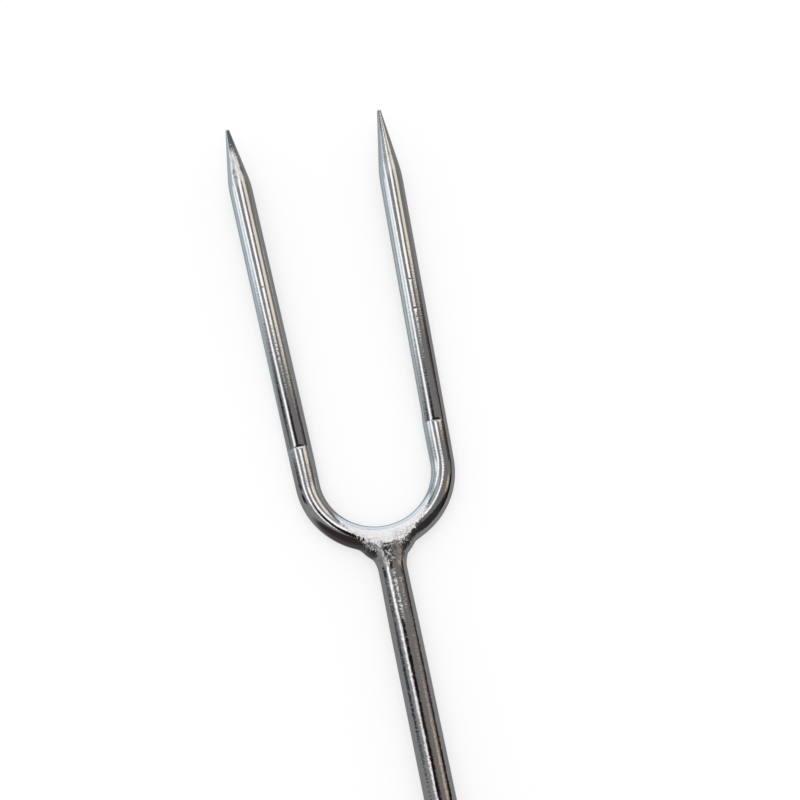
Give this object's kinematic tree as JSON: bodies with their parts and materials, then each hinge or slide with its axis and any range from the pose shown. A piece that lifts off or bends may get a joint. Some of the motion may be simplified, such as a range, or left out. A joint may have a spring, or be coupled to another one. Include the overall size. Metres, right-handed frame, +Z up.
{
  "type": "barbecue fork",
  "caption": "Long-handled barbecue fork: round rod bent to a U with ground points, welded to a plated shaft in a turned wooden grip with a hanging ring.",
  "frame": {"origin": "under the middle of the part's box, on the table that the fork lies on", "axes": "+X from the grip towards the tips, +Y to the left seen from the grip, +Z up, the fork's front face up"},
  "size_m": [0.498, 0.045, 0.0313],
  "materials": {
    "chrome_head": "chrome plating over bent and ground rod, bright, with a fine orange peel and short drawn waves along the tines",
    "chrome_weld": "chrome plating over a dressed weld, uneven, with fine grinding lines across the joint",
    "chrome_shaft": "chrome plating over drawn rod, bright, with drawing lines along it and small pits",
    "chrome_fittings": "polished chrome plating on turned and drawn steel",
    "chrome_ring": "polished chrome plating on bent wire",
    "steel_pin": "cut steel wire, ends filed round",
    "zinc_steel": "zinc plated steel, dull",
    "grip_wood": "turned hardwood, stained reddish brown, lacquered, darker in the grooves and worn paler on the belly"
  },
  "bodies": {
    "fork": {"fork_head": "chrome_head", "yoke_weld": "chrome_weld", "shaft": "chrome_shaft", "bolster": "chrome_fittings", "front_ferrule": "chrome_fittings", "ferrule_pin": "steel_pin", "handle_grip": "grip_wood", "rear_washer": "zinc_steel", "tang_nut": "zinc_steel", "end_cap": "chrome_fittings"},
    "ring": {"hanging_ring": "chrome_ring"}
  },
  "joints": [
    {"name": "ring_swing", "type": "hinge", "parent": "fork", "child": "ring", "pos_m": [-0.22898, 0.00055, 0.01786], "axis": [0, 1, 0], "range_deg": [-103, 190]}
  ]
}
